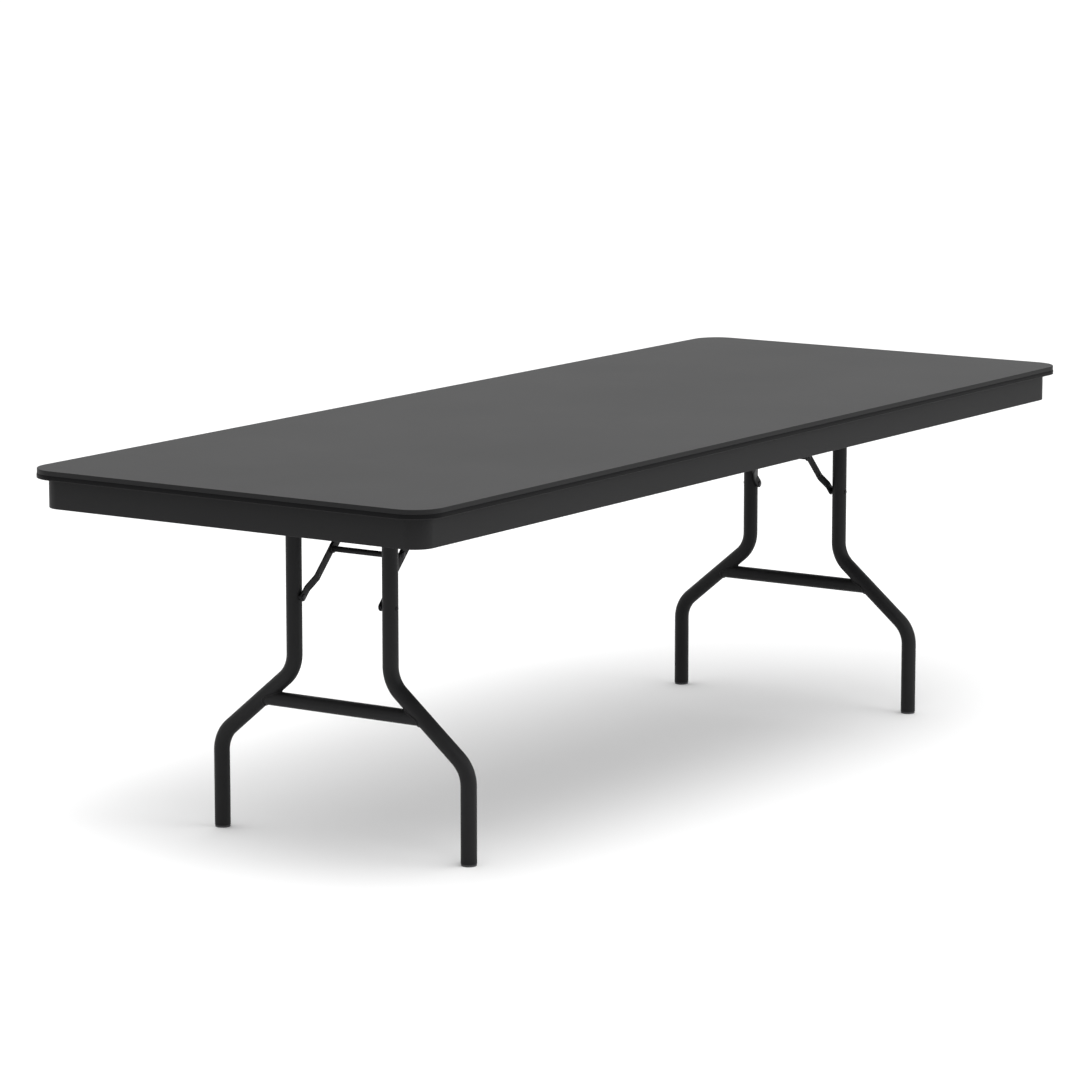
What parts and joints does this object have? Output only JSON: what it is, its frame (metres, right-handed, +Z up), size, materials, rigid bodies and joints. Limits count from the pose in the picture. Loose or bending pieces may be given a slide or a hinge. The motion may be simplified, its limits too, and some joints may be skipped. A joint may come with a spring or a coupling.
{
  "type": "folding table",
  "caption": "Long rectangular banquet table with a moulded plastic top and two wishbone steel leg frames that fold flat underneath.",
  "frame": {"origin": "on the floor, under the centre of the table top", "axes": "+X along the table's length, +Y across it, +Z up"},
  "size_m": [2.44, 0.916, 0.7366],
  "materials": {
    "moulded_top": "charcoal plastic with a fine moulded grain",
    "edge_band": "smooth black extruded edging",
    "core_board": "raw wood-fibre board",
    "leg_paint": "black powder coat, satin",
    "plated_steel": "blackened and zinc plated steel",
    "glide_plastic": "dark grey nylon"
  },
  "bodies": {
    "table_top": {"top_skin": "moulded_top", "edge_band": "edge_band", "apron_shell": "moulded_top", "core_panel": "core_board", "near_left_pivot_bracket": "plated_steel", "near_right_pivot_bracket": "plated_steel", "near_left_outer_screw": "plated_steel", "near_left_inner_screw": "plated_steel", "near_right_outer_screw": "plated_steel", "near_right_inner_screw": "plated_steel", "near_left_brace_bracket": "plated_steel", "near_right_brace_bracket": "plated_steel", "near_left_brace_pin": "plated_steel", "near_right_brace_pin": "plated_steel", "far_left_pivot_bracket": "plated_steel", "far_right_pivot_bracket": "plated_steel", "far_left_outer_screw": "plated_steel", "far_left_inner_screw": "plated_steel", "far_right_outer_screw": "plated_steel", "far_right_inner_screw": "plated_steel", "far_left_brace_bracket": "plated_steel", "far_right_brace_bracket": "plated_steel", "far_left_brace_pin": "plated_steel", "far_right_brace_pin": "plated_steel"},
    "near_leg_frame": {"near_pivot_tube": "leg_paint", "near_stretcher_tube": "leg_paint", "near_left_leg_tube": "leg_paint", "near_right_leg_tube": "leg_paint", "near_left_glide": "glide_plastic", "near_right_glide": "glide_plastic", "near_left_leg_pin": "plated_steel", "near_right_leg_pin": "plated_steel"},
    "near_lower_brace": {"near_left_lower_arm": "leg_paint", "near_right_lower_arm": "leg_paint", "near_left_elbow_cap": "plated_steel", "near_right_elbow_cap": "plated_steel", "near_left_stop_rivet": "plated_steel", "near_right_stop_rivet": "plated_steel"},
    "near_upper_brace": {"near_left_upper_link": "leg_paint", "near_right_upper_link": "leg_paint", "near_release_bar": "leg_paint"},
    "far_leg_frame": {"far_pivot_tube": "leg_paint", "far_stretcher_tube": "leg_paint", "far_left_leg_tube": "leg_paint", "far_right_leg_tube": "leg_paint", "far_left_glide": "glide_plastic", "far_right_glide": "glide_plastic", "far_left_leg_pin": "plated_steel", "far_right_leg_pin": "plated_steel"},
    "far_lower_brace": {"far_left_lower_arm": "leg_paint", "far_right_lower_arm": "leg_paint", "far_left_elbow_cap": "plated_steel", "far_right_elbow_cap": "plated_steel", "far_left_stop_rivet": "plated_steel", "far_right_stop_rivet": "plated_steel"},
    "far_upper_brace": {"far_left_upper_link": "leg_paint", "far_right_upper_link": "leg_paint", "far_release_bar": "leg_paint"}
  },
  "joints": [
    {"name": "near_leg_fold", "type": "hinge", "parent": "table_top", "child": "near_leg_frame", "pos_m": [-0.8405, 0, 0.688], "axis": [0, -1, 0], "range_deg": [0, 90]},
    {"name": "near_lower_brace_fold", "type": "hinge", "parent": "near_leg_frame", "child": "near_lower_brace", "pos_m": [-0.8405, 0, 0.4724], "axis": [0, 1, 0], "range_deg": [0, 135.8]},
    {"name": "near_upper_brace_fold", "type": "hinge", "parent": "table_top", "child": "near_upper_brace", "pos_m": [-0.63131, 0, 0.688], "axis": [0, -1, 0], "range_deg": [0, 134.1]},
    {"name": "far_leg_fold", "type": "hinge", "parent": "table_top", "child": "far_leg_frame", "pos_m": [0.8405, 0, 0.688], "axis": [0, 1, 0], "range_deg": [0, 90]},
    {"name": "far_lower_brace_fold", "type": "hinge", "parent": "far_leg_frame", "child": "far_lower_brace", "pos_m": [0.8405, 0, 0.4724], "axis": [0, -1, 0], "range_deg": [0, 135.8]},
    {"name": "far_upper_brace_fold", "type": "hinge", "parent": "table_top", "child": "far_upper_brace", "pos_m": [0.63131, 0, 0.688], "axis": [0, 1, 0], "range_deg": [0, 134.1]}
  ],
  "couplings": [
    {"joint": "near_lower_brace_fold", "follows": "near_leg_fold", "ratio": 1.5081},
    {"joint": "near_upper_brace_fold", "follows": "near_leg_fold", "ratio": 1.489},
    {"joint": "far_lower_brace_fold", "follows": "far_leg_fold", "ratio": 1.5081},
    {"joint": "far_upper_brace_fold", "follows": "far_leg_fold", "ratio": 1.489}
  ]
}
